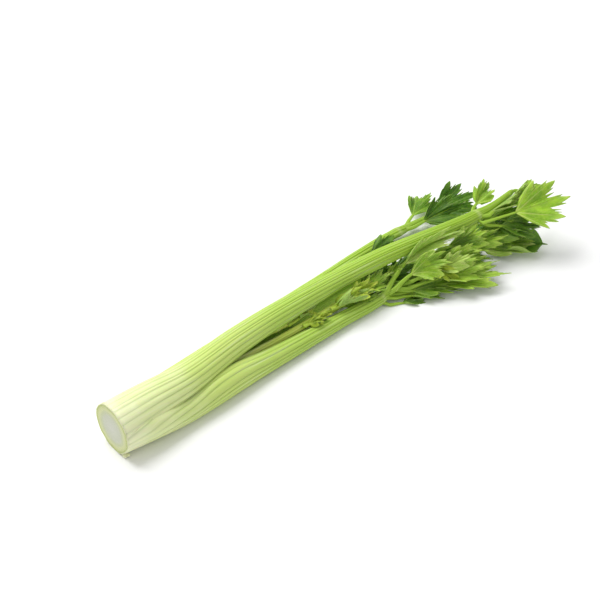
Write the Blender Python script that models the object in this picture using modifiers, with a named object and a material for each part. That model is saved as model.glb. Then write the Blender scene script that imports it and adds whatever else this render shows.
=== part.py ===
"""A head of celery, cut square at the root end and lying on its side.

The head frame starts at the middle of the cut face: +X runs along the head towards the leaf tips, +Z is up
and the floor is one cut radius below the axis. Everything hangs from one empty, which puts the middle of
the whole head over the origin. Sizes are in millimetres and become metres through MM.

Each stalk is a loft through crescent sections that hug the butt at the bottom and round off towards the
leaves. Each leaflet is a lobed fan on a narrow stem, bent, folded and rolled, and then given its thickness.
"""

import math
from typing import NamedTuple

import bmesh
import bpy
from mathutils import Matrix, Vector

MM = 0.001

# Driving dimensions
CUT_RADIUS = 21.0          # of the cut face, over the stalk bases
STALK_BASE = 4.3           # thickness of a stalk where it leaves the butt
GAP = 0.35                 # between neighbouring solids
LEAF_THICKNESS = 1.1
LEAF_REST = -20.4          # height of a leaflet that lies on the floor

# The solid stem, as distance from the cut face and radius
CORE_RADIUS = CUT_RADIUS - STALK_BASE - 2 * GAP
CORE_PROFILE = [(0, 0), (0, CORE_RADIUS), (3, 15.2), (12, 12.8), (20, 10.2), (28, 6.5), (33, 2.5), (34, 0)]
CORE_SIDES = 32

# A stalk hugs the butt over this length, where its edges are as thick as its middle
HUG_LENGTH = 60.0
EDGE_SHARE = 0.38          # of the middle's thickness, at the edges of a free stalk
BACK_CORNERS, HOLLOW_CORNERS = 10, 7
RINGS = 16

# A leaflet's blade is a fan of three lobes: the reach of each column, from the midrib out to the edge
OUTLINE = (1.0, 0.82, 0.64, 0.80, 0.42)
FAN_HALF_ANGLE = 62.0
WIDEST_REACH = 0.58        # the most that the outline reaches sideways, as a share of its length
STEM_HALF_WIDTH = 1.2
LEAF_COLUMNS, LEAF_ROWS, STEM_ROWS = 8, 4, 2
MIDRIB_STEPS = 12


class Station(NamedTuple):
    """One section of a stalk: its place along the head, the middle and radius of its arc, the side that
    its back faces (degrees from straight up, turning towards -Y), how far it wraps and how thick it is."""

    x: float
    y: float
    z: float
    radius: float
    facing: float
    wrap: float
    thickness: float


class Leaflet(NamedTuple):
    """One leaflet: where its stem starts, its heading (yaw from +X, pitch, and the roll that turns its
    upper face towards -Y), the length of its stem, the length and width of its blade, how far it turns
    left and bends down on its way, how far its halves fold up and curl on, and the least height of it."""

    start: tuple
    heading: tuple
    stem: float
    length: float
    width: float
    turn: float = 0.0
    bend: float = 0.0
    fold: float = 15.0
    curl: float = 0.0
    rest: float = LEAF_REST


STALKS = {
    "outer_stalk_top": [
        Station(0, 0, 0, 21.0, 0, 159, STALK_BASE),
        Station(39, 4.2, -1.2, 18.6, 0, 156, 5.4),
        Station(68, 6.2, -1.5, 16.4, 3, 149, 6.2),
        Station(130, 17.0, 1.0, 12.9, 12, 150, 7.2),
        Station(188, 22.0, 3.0, 10.8, 16, 158, 7.0),
        Station(247, 22.3, 6.0, 8.8, 20, 170, 6.4),
        Station(291, 18.0, 10.0, 8.0, 22, 185, 6.2),
        Station(315, 13.0, 13.0, 7.1, 22, 195, 5.8),
        Station(367, 3.5, 17.2, 6.1, 24, 215, 5.2),
        Station(392, 1.0, 20.5, 4.0, 20, 240, 3.6),
        Station(418, 2.0, 25.5, 2.4, 20, 240, 2.2),
    ],
    "outer_stalk_near": [
        Station(0, 0, 0, 21.0, 120, 78.5, STALK_BASE),
        Station(25, -4.5, -4.2, 16.6, 114, 88, 5.0),
        Station(60, -7.7, -10.5, 11.5, 87, 136, 5.8),
        Station(116, -2.8, -11.8, 11.3, 62, 166, 6.0),
        Station(145, -2.0, -12.8, 9.6, 61, 162, 5.8),
        Station(180, -1.2, -13.6, 8.0, 60, 165, 5.6),
        Station(227, 0.6, -14.6, 6.5, 60, 185, 5.2),
        Station(266, 1.6, -15.3, 5.4, 60, 215, 4.6),
        Station(284, 3.6, -14.4, 3.8, 60, 240, 3.4),
        Station(306, 5.0, -14.6, 2.5, 50, 240, 2.3),
    ],
    "outer_stalk_far": [
        Station(0, 0, 0, 21.0, -120, 78.5, STALK_BASE),
        Station(25, 7.0, -4.4, 16.4, -114, 88, 5.0),
        Station(60, 21.0, -9.8, 11.2, -88, 130, 6.0),
        Station(116, 29.5, -11.2, 9.8, -80, 142, 6.2),
        Station(180, 38.5, -12.6, 8.2, -70, 160, 6.0),
        Station(240, 46.0, -13.6, 7.2, -55, 175, 5.6),
        Station(290, 53.0, -14.3, 6.5, -45, 190, 5.2),
        Station(330, 56.5, -14.4, 5.8, -40, 210, 4.8),
        Station(350, 57.5, -13.8, 3.8, -30, 240, 3.4),
        Station(372, 56.5, -13.0, 2.4, -20, 240, 2.2),
    ],
    "outer_stalk_under": [
        Station(0, 0, 0, 21.0, 180, 39.4, STALK_BASE),
        Station(25, 1.5, -7.0, 14.0, 180, 52, 5.0),
        Station(60, 6.5, -12.6, 8.4, 180, 116, 5.4),
        Station(116, 12.5, -13.8, 7.2, 180, 140, 5.2),
        Station(180, 19.0, -14.3, 6.6, 180, 150, 5.0),
        Station(240, 25.0, -14.9, 6.0, 178, 165, 4.8),
        Station(300, 26.0, -15.5, 5.4, 170, 180, 4.6),
        Station(340, 19.0, -15.9, 4.9, 160, 200, 4.3),
        Station(358, 12.5, -16.5, 3.4, 150, 230, 3.1),
        Station(380, 3.0, -17.2, 2.3, 140, 240, 2.1),
    ],
    "inner_stalk_near": [
        Station(36, -3.0, -5.0, 6.0, 80, 120, 3.4),
        Station(60, 0.0, -5.5, 5.4, 80, 130, 3.6),
        Station(116, 7.0, -7.5, 4.5, 80, 150, 3.5),
        Station(170, 8.3, -8.5, 3.9, 80, 170, 3.2),
        Station(210, 9.5, -8.0, 3.4, 75, 190, 3.0),
        Station(228, 10.2, -7.2, 3.1, 70, 210, 2.8),
        Station(246, 9.0, -5.2, 2.0, 60, 240, 1.8),
    ],
    "inner_stalk_far": [
        Station(36, 9.5, -4.5, 6.0, -80, 120, 3.4),
        Station(60, 15.0, -3.0, 5.6, -80, 130, 3.6),
        Station(116, 23.0, -4.5, 4.8, -70, 150, 3.6),
        Station(180, 31.0, -4.0, 4.4, -60, 170, 3.4),
        Station(240, 36.5, -3.0, 3.8, -50, 190, 3.2),
        Station(258, 37.5, -2.6, 3.2, -45, 210, 2.9),
        Station(282, 37.0, -1.0, 2.0, -40, 240, 1.8),
    ],
    "heart_stalk_near": [
        Station(36, 3.0, 5.0, 4.4, 20, 130, 2.8),
        Station(70, 7.5, 2.5, 4.0, 20, 150, 2.8),
        Station(116, 13.0, -0.5, 3.2, 30, 170, 2.5),
        Station(160, 14.5, -2.0, 2.7, 40, 200, 2.3),
        Station(184, 13.0, -3.0, 1.7, 50, 240, 1.5),
    ],
    "heart_stalk_far": [
        Station(36, 4.5, -3.5, 3.0, 200, 150, 2.1),
        Station(70, 10.0, -5.5, 2.8, 200, 160, 2.0),
        Station(116, 17.5, -7.5, 2.5, 200, 180, 1.9),
        Station(150, 21.5, -6.5, 2.1, 200, 210, 1.8),
        Station(170, 23.5, -5.5, 1.6, 200, 240, 1.4),
    ],
}

LEAFLETS = {
    # on the top stalk, held up over the rest
    "top_leaflet_tip": Leaflet((375, -7.5, 17.5), (-25, 12, 42), 29, 50, 44, turn=8, bend=8, fold=6, curl=12),
    "top_leaflet_folded": Leaflet((383, -6.5, 21.5), (8, 7, 40), 24, 30, 24, turn=-20, fold=50, curl=20),
    "top_leaflet_left": Leaflet((380, 10, 21), (18, 18, 28), 4, 28, 22, fold=20, curl=10),
    "top_leaflet_low": Leaflet((380, -9, 13), (-24, -12, 35), 12, 38, 28, fold=14, curl=20),
    "top_leaflet_back": Leaflet((421, 1, 25), (-30, -14, 32), 3, 26, 24, fold=12),
    # on the near stalk
    "near_leaflet_up": Leaflet((276, 1, -8.5), (20, 30, 55), 26, 58, 26, turn=-55, bend=16, fold=42, curl=16),
    "near_leaflet_bright": Leaflet((283, -3, -8), (0, 34, 50), 16, 38, 30, turn=-50, bend=32, curl=20),
    "near_leaflet_middle": Leaflet((310, 2, -13), (-12, 32, 40), 36, 40, 30, bend=26, fold=18, curl=10),
    "near_leaflet_fingers": Leaflet((298, -4, -9), (-30, 24, 40), 24, 32, 22, turn=10, bend=10, fold=24),
    "near_leaflet_long": Leaflet((294, -6, -13), (-26, 16, 35), 28, 44, 28, bend=14, fold=18, curl=10),
    "near_leaflet_tip": Leaflet((293, -3, -16), (-27, 8, 14), 24, 70, 34, turn=-8, bend=8, fold=10, curl=8),
    "near_leaflet_low": Leaflet((281, -5, -17.2), (-24, 0, 3), 12, 34, 22, fold=4),
    "near_leaflet_floor": Leaflet((274, -6.5, -19.8), (-24, 0, 2), 10, 24, 14, fold=2),
    # on the stalk underneath, resting on the floor
    "under_leaflet_cup": Leaflet((384, 1, -17.5), (-38, 2, 30), 4, 52, 36, bend=2, fold=28, curl=40),
    "under_leaflet_inner": Leaflet((381, -5, -13.5), (-35, 12, 22), 5, 38, 20, bend=8, fold=20, curl=10),
    "under_leaflet_left": Leaflet((372, 11, -15), (16, 12, 5), 5, 38, 32, bend=20, fold=14),
    "under_leaflet_right": Leaflet((350, 9, -18.5), (-44, 2, 5), 8, 34, 24, bend=4, fold=8),
    # on the far stalk
    "far_leaflet_tip": Leaflet((375, 56, -12), (-8, 14, 32), 6, 46, 40, bend=14, fold=12, curl=10),
    "far_leaflet_left": Leaflet((356, 64, -13.5), (22, 8, 8), 8, 36, 30, bend=14, fold=8),
    "far_leaflet_right": Leaflet((352, 50, -9), (-14, 20, 40), 8, 42, 32, bend=16, fold=14),
    # on the two inner stalks
    "inner_leaflet_small": Leaflet((190, 4.4, -4.6), (-14, 8, 20), 3, 16, 10),
    "inner_leaflet_rolled": Leaflet((218, 5.2, -2.4), (-6, -2, 0), 4, 36, 22, fold=45, curl=60),
    "inner_leaflet_tip": Leaflet((249, 9.8, -4), (4, -2, 20), 3, 42, 28, bend=10, fold=14, curl=10),
    "inner_leaflet_low": Leaflet((240, 12, -11), (-2, -12, 10), 4, 40, 18, fold=8),
    "inner_far_leaflet_tip": Leaflet((285, 37, 0), (-6, 3, 28), 4, 34, 26, bend=10, fold=14, curl=10),
    "inner_far_leaflet_low": Leaflet((268, 38, -8), (-6, -6, 5), 4, 34, 20, bend=4, fold=12),
    # in the heart
    "heart_leaflet_near": Leaflet((187, 12.5, -2.6), (6, -1, 0), 3, 20, 9, fold=25, curl=20),
    "heart_leaflet_far": Leaflet((173, 23.5, -5), (0, -4, -5), 3, 20, 9, fold=25, curl=20),
}

# Colours as red, green and blue
STEM_CREAM = (0.80, 0.84, 0.50)
STALK_GREEN = (0.42, 0.62, 0.12)
INNER_YELLOW = (0.60, 0.68, 0.16)
LEAF_GREEN = (0.16, 0.36, 0.03)
LEAF_YOUNG = (0.36, 0.52, 0.06)


def clear_scene():
    """Removes every object that the file starts with."""
    for item in list(bpy.data.objects):
        bpy.data.objects.remove(item, do_unlink=True)


def plant_material(name, colour, roughness):
    """A Principled material of one colour."""
    material = bpy.data.materials.new(name)
    material.use_nodes = True
    shader = material.node_tree.nodes["Principled BSDF"]
    shader.inputs["Base Color"].default_value = (*colour, 1.0)
    shader.inputs["Roughness"].default_value = roughness
    return material


def add_piece(name, mesh_source, material, parent, collection):
    """Turns a bmesh into a named object under the parent, in metres."""
    bmesh.ops.recalc_face_normals(mesh_source, faces=mesh_source.faces)
    bmesh.ops.scale(mesh_source, vec=(MM, MM, MM), verts=mesh_source.verts)
    mesh = bpy.data.meshes.new(name)
    mesh_source.to_mesh(mesh)
    mesh_source.free()
    mesh.materials.append(material)
    mesh.shade_smooth()
    piece = bpy.data.objects.new(name, mesh)
    piece.parent = parent
    collection.objects.link(piece)
    return piece


def smooth_between(stations, share):
    """The section at a share of the way through the stations, on a smooth curve through all of them."""
    place = share * (len(stations) - 1)
    index = min(int(place), len(stations) - 2)
    before = stations[max(index - 1, 0)]
    start, end = stations[index], stations[index + 1]
    after = stations[min(index + 2, len(stations) - 1)]
    t = place - index
    values = []
    for a, b, c, d in zip(before, start, end, after):
        straight = b + (c - b) * t
        square = (2 * a - 5 * b + 4 * c - d) * t**2
        cube = (3 * b - a - 3 * c + d) * t**3
        bowed = b + 0.5 * ((c - a) * t + square + cube)
        values.append(0.5 * (straight + bowed))
    return Station(*values)


def stalk_section(station):
    """The corners of one crescent: its back from one edge to the other, then its hollow side back again."""
    root_share = max(0.0, 1.0 - station.x / HUG_LENGTH)
    edge = station.thickness * (EDGE_SHARE + (1 - EDGE_SHARE) * root_share)

    def corner(u, depth):
        side = math.radians(station.facing + u * station.wrap / 2)
        reach = station.radius - depth
        return Vector((station.x, station.y - reach * math.sin(side), station.z + reach * math.cos(side)))

    back = [corner(2 * i / (BACK_CORNERS - 1) - 1, 0) for i in range(BACK_CORNERS)]
    hollow = []
    for i in range(HOLLOW_CORNERS):
        u = 1 - 2 * i / (HOLLOW_CORNERS - 1)
        hollow.append(corner(u, edge + (station.thickness - edge) * (1 - u * u)))
    return back + hollow


def loft(sections):
    """A closed body through sections of equal corner count, capped at both ends."""
    body = bmesh.new()
    rings = [[body.verts.new(point) for point in section] for section in sections]
    count = len(sections[0])
    for ring, following in zip(rings, rings[1:]):
        for i in range(count):
            j = (i + 1) % count
            body.faces.new((ring[i], ring[j], following[j], following[i]))
    for ring in (rings[0], rings[-1]):
        back, hollow = ring[:BACK_CORNERS], ring[BACK_CORNERS:][::-1]
        for share in range(HOLLOW_CORNERS - 1):
            low = round(share * (BACK_CORNERS - 1) / (HOLLOW_CORNERS - 1))
            high = round((share + 1) * (BACK_CORNERS - 1) / (HOLLOW_CORNERS - 1))
            body.faces.new(back[low:high + 1] + [hollow[share + 1], hollow[share]])
    return body


def stalk_body(stations):
    """One stalk, from the butt or the growing point to the end of its midrib."""
    return loft([stalk_section(smooth_between(stations, i / (RINGS - 1))) for i in range(RINGS)])


def core_body():
    """The solid stem inside the butt, a turned shape that narrows to the growing point."""
    body = bmesh.new()
    corners = [body.verts.new((x, radius, 0)) for x, radius in CORE_PROFILE]
    edges = [body.edges.new(pair) for pair in zip(corners, corners[1:])]
    bmesh.ops.spin(
        body,
        geom=corners + edges,
        cent=(0, 0, 0),
        axis=(1, 0, 0),
        angle=math.tau,
        steps=CORE_SIDES,
        use_merge=True,
    )
    bmesh.ops.remove_doubles(body, verts=body.verts, dist=0.001)
    return body


def blade_point(leaf, row, column):
    """Distance along the midrib and across it, for one corner of a leaflet's grid."""
    u = 2 * column / LEAF_COLUMNS - 1
    if row <= STEM_ROWS:
        return leaf.stem * row / STEM_ROWS, u * STEM_HALF_WIDTH
    spread = math.radians(u * FAN_HALF_ANGLE)
    reach = OUTLINE[abs(column - LEAF_COLUMNS // 2)] * (row - STEM_ROWS) / LEAF_ROWS
    along = leaf.stem + leaf.length * reach * math.cos(spread)
    across = leaf.width / 2 * reach * math.sin(spread) / WIDEST_REACH
    return along, across + u * STEM_HALF_WIDTH


def midrib_frame(leaf, along):
    """The point on the midrib this far along, with its left and upward directions."""
    total = leaf.stem + leaf.length
    yaw, pitch, roll = leaf.heading
    point = Vector(leaf.start)
    step = along / MIDRIB_STEPS
    for i in range(MIDRIB_STEPS):
        share = (i + 0.5) * step / total
        point += step * direction(yaw + leaf.turn * share, pitch - leaf.bend * share)
    share = along / total
    ahead = direction(yaw + leaf.turn * share, pitch - leaf.bend * share)
    left = Vector((0, 0, 1)).cross(ahead).normalized()
    left = Matrix.Rotation(math.radians(roll), 3, ahead) @ left
    return point, left, ahead.cross(left)


def direction(yaw, pitch):
    """The unit vector of a yaw and a pitch in degrees."""
    level = math.cos(math.radians(pitch))
    heading = math.radians(yaw)
    return Vector((level * math.cos(heading), level * math.sin(heading), math.sin(math.radians(pitch))))


def leaflet_point(leaf, along, across):
    """Where a point of the flat leaflet lies once it is bent, folded and curled, and kept off the floor."""
    point, left, up = midrib_frame(leaf, along)
    fold = math.radians(leaf.fold)
    rate = math.radians(leaf.curl + 0.01) / (leaf.width / 2)
    far = abs(across)
    out = (math.sin(fold + rate * far) - math.sin(fold)) / rate
    rise = (math.cos(fold) - math.cos(fold + rate * far)) / rate
    point = point + math.copysign(out, across) * left + rise * up
    point.z = max(point.z, leaf.rest)
    return point


def leaflet_body(leaf):
    """The open sheet of one leaflet, to be given its thickness."""
    body = bmesh.new()
    rows, columns = STEM_ROWS + LEAF_ROWS, LEAF_COLUMNS
    bmesh.ops.create_grid(body, x_segments=rows, y_segments=columns, size=0.5)
    for vert in body.verts:
        row = round((vert.co.x + 0.5) * rows)
        column = round((vert.co.y + 0.5) * columns)
        vert.co = leaflet_point(leaf, *blade_point(leaf, row, column))
    return body


def add_thickness(piece):
    """Gives a leaflet's sheet its thickness, half to each side."""
    solid = piece.modifiers.new("Thickness", "SOLIDIFY")
    solid.thickness = LEAF_THICKNESS * MM
    solid.offset = 0.0


def bottom_centre(pieces):
    """The middle of the underside of the box that holds every piece."""
    bpy.context.view_layer.update()
    graph = bpy.context.evaluated_depsgraph_get()
    corners = []
    for piece in pieces:
        shape = piece.evaluated_get(graph)
        corners += [shape.matrix_world @ vert.co for vert in shape.data.vertices]
    low = [min(corner[axis] for corner in corners) for axis in range(3)]
    high = [max(corner[axis] for corner in corners) for axis in range(3)]
    return Vector(((low[0] + high[0]) / 2, (low[1] + high[1]) / 2, low[2]))


def main():
    clear_scene()
    collection = bpy.data.collections.new("head_of_celery")
    bpy.context.scene.collection.children.link(collection)
    root = bpy.data.objects.new("head_axis", None)
    collection.objects.link(root)

    stem = plant_material("stem_cream", STEM_CREAM, 0.45)
    stalk = plant_material("stalk_green", STALK_GREEN, 0.40)
    inner = plant_material("inner_yellow", INNER_YELLOW, 0.42)
    leaf_green = plant_material("leaf_green", LEAF_GREEN, 0.50)
    leaf_young = plant_material("leaf_young", LEAF_YOUNG, 0.50)

    pieces = [add_piece("butt_core", core_body(), stem, root, collection)]
    for name, stations in STALKS.items():
        colour = stalk if name.startswith("outer") else inner
        pieces.append(add_piece(name, stalk_body(stations), colour, root, collection))
    for name, leaf in LEAFLETS.items():
        colour = leaf_young if name.startswith(("inner", "heart")) else leaf_green
        piece = add_piece(name, leaflet_body(leaf), colour, root, collection)
        add_thickness(piece)
        pieces.append(piece)
    root.location = -bottom_centre(pieces)


if __name__ == "__main__":
    main()
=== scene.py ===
"""Looks of a head of celery that was cut square at the root end and laid on its side.

Shapes are worked out in the head frame of the CAD model, in millimetres: it starts at the middle of the
cut face, +X runs towards the leaf tips and +Z is up. Points are turned into the row frame, in metres, when
a mesh is made.
"""

import logging
import math
import random
from dataclasses import dataclass
from enum import Enum
from typing import NamedTuple

import bmesh
import bpy
import numpy as np
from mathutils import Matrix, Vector


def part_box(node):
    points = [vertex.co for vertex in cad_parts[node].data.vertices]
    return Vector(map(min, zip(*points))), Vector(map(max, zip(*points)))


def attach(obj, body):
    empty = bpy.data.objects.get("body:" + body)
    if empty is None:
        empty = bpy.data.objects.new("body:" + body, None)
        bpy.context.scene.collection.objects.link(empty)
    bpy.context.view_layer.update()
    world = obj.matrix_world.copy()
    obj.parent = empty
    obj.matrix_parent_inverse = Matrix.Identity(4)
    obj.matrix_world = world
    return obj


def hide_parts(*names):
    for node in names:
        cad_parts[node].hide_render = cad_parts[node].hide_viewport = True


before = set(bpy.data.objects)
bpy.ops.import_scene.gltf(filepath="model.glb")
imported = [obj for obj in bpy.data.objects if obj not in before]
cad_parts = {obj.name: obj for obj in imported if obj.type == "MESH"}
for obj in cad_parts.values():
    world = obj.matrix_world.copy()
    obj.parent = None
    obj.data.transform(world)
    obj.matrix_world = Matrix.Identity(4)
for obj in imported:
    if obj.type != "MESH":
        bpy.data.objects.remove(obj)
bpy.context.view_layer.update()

LOG = logging.getLogger("celery")
MM = 0.001
CUT_RADIUS = 21.0
FLOOR_HEIGHT = -20.9       # the least height of a stem, just over the floor
EDGE_SHARE = 0.38          # of a stalk's thickness, at the edges where it stands free
HUG_LENGTH = 60.0          # over which a stalk hugs the butt
RIPE_LENGTH = 385.0        # along which a stalk turns from cream to green
BAND_SHARE, BAND_WIDTH = 0.55, 1.6     # of the pale band at a joint
SWELL_HEIGHT, SWELL_WIDTH = 0.5, 4.0   # of the swelling at a joint
ROOT_REACH = 12.0          # how far back from a leaflet's start its stem leaves the stalk
BLADE_THICKNESS = 0.4


class Side(Enum):
    """How the upper face of a leaf is coloured and how it shines. The light and the dark side are the middle
    leaf green with painted light and with painted shade.
    """

    # leaf green with painted light, for leaves held up in the light
    LIGHT = "light"
    GLOSSY = "glossy"
    PALE = "pale"
    # leaf green with painted shade, for leaves low down, underneath and behind
    DARK = "dark"
    YOUNG = "young"


class Station(NamedTuple):
    """One section of a stalk: its place along the head, the middle and radius of its arc, the side that
    its back faces (degrees from straight up, turning towards -Y), how far it wraps and how thick it is."""

    x: float
    y: float
    z: float
    radius: float
    facing: float
    wrap: float
    thickness: float


def course(*rows: tuple) -> tuple[Station, ...]:
    """The stations of a stalk, from rows of their fields."""
    return tuple(Station(*row) for row in rows)


# Shader building blocks


def tint(red: int, green: int, blue: int) -> tuple[float, float, float, float]:
    """Turns a colour into linear values with full alpha.

    Args:
        red: its red, from 0 to 255 steps of sRGB.
        green: its green.
        blue: its blue.

    Returns:
        The four linear values.
    """
    steps = [channel / 255 for channel in (red, green, blue)]
    linear = [s / 12.92 if s <= 0.04045 else ((s + 0.055) / 1.055) ** 2.4 for s in steps]
    return (*linear, 1.0)


class Value:
    """A number that varies over a surface: a float socket that takes Python's arithmetic."""

    def __init__(self, shader: "Shader", socket: bpy.types.NodeSocket) -> None:
        """Wraps one output socket of a shader."""
        self.shader = shader
        self.socket = socket

    def math(self, operation: str, *others: "Value | float") -> "Value":
        """Adds one Math node.

        Args:
            operation: the node's operation, such as MULTIPLY.
            others: what stands in its further inputs.

        Returns:
            The node's result.
        """
        made = self.shader.node("ShaderNodeMath", {"operation": operation}, [self, *others])
        return Value(self.shader, made.outputs[0])

    def __add__(self, other: "Value | float") -> "Value":
        """self + other"""
        return self.math("ADD", other)

    __radd__ = __add__

    def __mul__(self, other: "Value | float") -> "Value":
        """self * other"""
        return self.math("MULTIPLY", other)

    __rmul__ = __mul__

    def __sub__(self, other: "Value | float") -> "Value":
        """self - other"""
        return self.math("SUBTRACT", other)

    def __rsub__(self, other: float) -> "Value":
        """other - self"""
        return self * -1.0 + other

    def __pow__(self, power: float) -> "Value":
        """self ** power"""
        return self.math("POWER", power)

    def clamped(self) -> "Value":
        """The value held between 0 and 1."""
        return self.math("MAXIMUM", 0.0).math("MINIMUM", 1.0)

    def step(self, low: float, high: float) -> "Value":
        """A smooth step from 0 at low to 1 at high.

        Args:
            low: where the step starts.
            high: where it ends; below low, the step falls.

        Returns:
            The stepped value.
        """
        settings = {"interpolation_type": "SMOOTHSTEP"}
        made = self.shader.node("ShaderNodeMapRange", settings, [self, low, high, 0.0, 1.0])
        return Value(self.shader, made.outputs[0])


class Shader:
    """One Principled material that is put together from nodes."""

    def __init__(self, name: str, **constants: float | tuple) -> None:
        """Starts the material.

        Args:
            name: the material's name.
            constants: values of the Principled shader's own sockets, with _ for a space.
        """
        self.material = bpy.data.materials.new(name)
        self.material.use_nodes = True
        self.tree = self.material.node_tree
        self.surface = self.tree.nodes["Principled BSDF"]
        for socket, constant in constants.items():
            self.surface.inputs[socket.replace("_", " ")].default_value = constant

    def node(self, kind: str, settings: dict, inputs: list | dict) -> bpy.types.Node:
        """Adds any node.

        Args:
            kind: its type name.
            settings: its properties, which are set first.
            inputs: values, Values or sockets, in the order of its inputs or by their names.

        Returns:
            The new node.
        """
        made = self.tree.nodes.new(kind)
        for key, setting in settings.items():
            setattr(made, key, setting)
        pairs = inputs.items() if isinstance(inputs, dict) else enumerate(inputs)
        for key, given in pairs:
            given = given.socket if isinstance(given, Value) else given
            if isinstance(given, bpy.types.NodeSocket):
                self.tree.links.new(given, made.inputs[key])
            elif given is not None:
                made.inputs[key].default_value = given
        return made

    def attribute(self, name: str) -> Value:
        """A float attribute of the mesh."""
        made = self.node("ShaderNodeAttribute", {"attribute_name": name}, [])
        return Value(self, made.outputs["Fac"])

    def place(self, scale: tuple[float, float, float], surface_map: bool = False) -> bpy.types.NodeSocket:
        """Coordinates to lay a pattern on, in millimetres.

        Args:
            scale: how much each direction is squeezed.
            surface_map: whether they follow the piece's own UV map, and not the row frame.

        Returns:
            The scaled coordinates.
        """
        source = self.node("ShaderNodeTexCoord", {}, [])
        unit = 1.0 if surface_map else 1.0 / MM
        found = source.outputs["UV" if surface_map else "Object"]
        inputs = {"Vector": found, "Scale": tuple(unit * s for s in scale)}
        return self.node("ShaderNodeMapping", {}, inputs).outputs[0]

    def noise(self, place: bpy.types.NodeSocket, detail: float = 3.0, rough: float = 0.55) -> Value:
        """Soft noise of about one patch for each unit of the coordinates.

        Args:
            place: the coordinates.
            detail: how many finer layers it has.
            rough: how strong these are.

        Returns:
            A value around 0.5.
        """
        inputs = {"Vector": place, "Scale": 1.0, "Detail": detail, "Roughness": rough}
        return Value(self, self.node("ShaderNodeTexNoise", {}, inputs).outputs[0])

    def mix(self, share: "Value | float", base: object, over: object) -> bpy.types.NodeSocket:
        """Blends two colours.

        Args:
            share: 0 gives base and 1 gives over.
            base: a colour or its socket.
            over: a colour or its socket.

        Returns:
            The blended colour.
        """
        made = self.node("ShaderNodeMix", {"data_type": "RGBA"}, {0: share, 6: base, 7: over})
        return made.outputs[2]

    def ramp(self, share: Value, stops: list[tuple[float, tuple]]) -> bpy.types.NodeSocket:
        """A colour ramp.

        Args:
            share: where to read it.
            stops: pairs of place and colour, in order.

        Returns:
            The ramp's colour.
        """
        made = self.node("ShaderNodeValToRGB", {}, [share])
        made.color_ramp.interpolation = "EASE"
        elements = made.color_ramp.elements
        while len(elements) < len(stops):
            elements.new(1.0)
        for element, (place, colour) in zip(elements, stops):
            element.position = place
            element.color = colour
        return made.outputs[0]

    def finish(self, colour: object, roughness: Value, relief: Value, depth: float) -> bpy.types.Material:
        """Feeds the Principled shader.

        Args:
            colour: the base colour's socket.
            roughness: the roughness.
            relief: height of the fine relief, from 0 to 1.
            depth: what 1 stands for, in millimetres.

        Returns:
            The finished material.
        """
        bump = self.node("ShaderNodeBump", {}, {"Strength": 1.0, "Distance": depth * MM, "Height": relief})
        self.tree.links.new(colour, self.surface.inputs["Base Color"])
        self.tree.links.new(roughness.socket, self.surface.inputs["Roughness"])
        self.tree.links.new(bump.outputs[0], self.surface.inputs["Normal"])
        return self.material


# Finishes


@dataclass(frozen=True)
class Rind:
    """The skin of a stalk: cream at the root end and green towards the leaves. It is darker between its ribs
    and inside its hollow, which is partly the deeper green of the furrows and partly painted shade, and it
    carries pale painted highlight streaks.
    """

    name: str
    stops: tuple
    # groove: the darker green laid between the ribs and in the hollow, partly the furrows' own green and
    # partly painted shade
    groove: tuple
    groove_green_and_shade_share: float = 0.44

    def material(self) -> bpy.types.Material:
        """Builds the skin's material.

        Returns:
            The finished material.
        """
        shader = Shader(
            self.name,
            Subsurface_Weight=0.22,
            Subsurface_Radius=(0.6, 1.0, 0.35),
            Subsurface_Scale=0.004,
            Specular_IOR_Level=0.42,
        )
        rib, age = shader.attribute("rib"), shader.attribute("age")
        streaks = shader.noise(shader.place((0.45, 0.012, 1.0), surface_map=True), 4.0, 0.6)
        fibres = shader.noise(shader.place((1.6, 0.05, 1.0), surface_map=True), 2.0)
        patches = shader.noise(shader.place((0.05, 0.05, 0.05)), 2.0)
        where = (age + 0.12 * (patches - 0.5) + 0.16 * (streaks - 0.5)).clamped()
        colour = shader.ramp(where, list(self.stops))
        # painted shade: darker green between the ribs and inside the hollow, partly the furrows' own deeper
        # green
        groove_green_and_shade = (1.0 - rib) ** 1.2 * self.groove_green_and_shade_share * age.step(-0.22, 0.25)
        colour = shader.mix(groove_green_and_shade.clamped(), colour, self.groove)
        # painted highlight: pale streaks along the stalk, strongest towards the root end
        light = (streaks.step(0.50, 0.70) * 0.30 * (1.0 - age * 0.5)).clamped()
        colour = shader.mix(light, colour, tint(250, 250, 226))
        joint = shader.attribute("joint")
        colour = shader.mix(joint.clamped(), colour, tint(200, 214, 140))
        roughness = 0.40 + 0.16 * fibres + 0.10 * (1.0 - rib)
        relief = 0.6 * fibres + 0.4 * streaks
        return shader.finish(colour, roughness, relief, 0.35)


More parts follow.
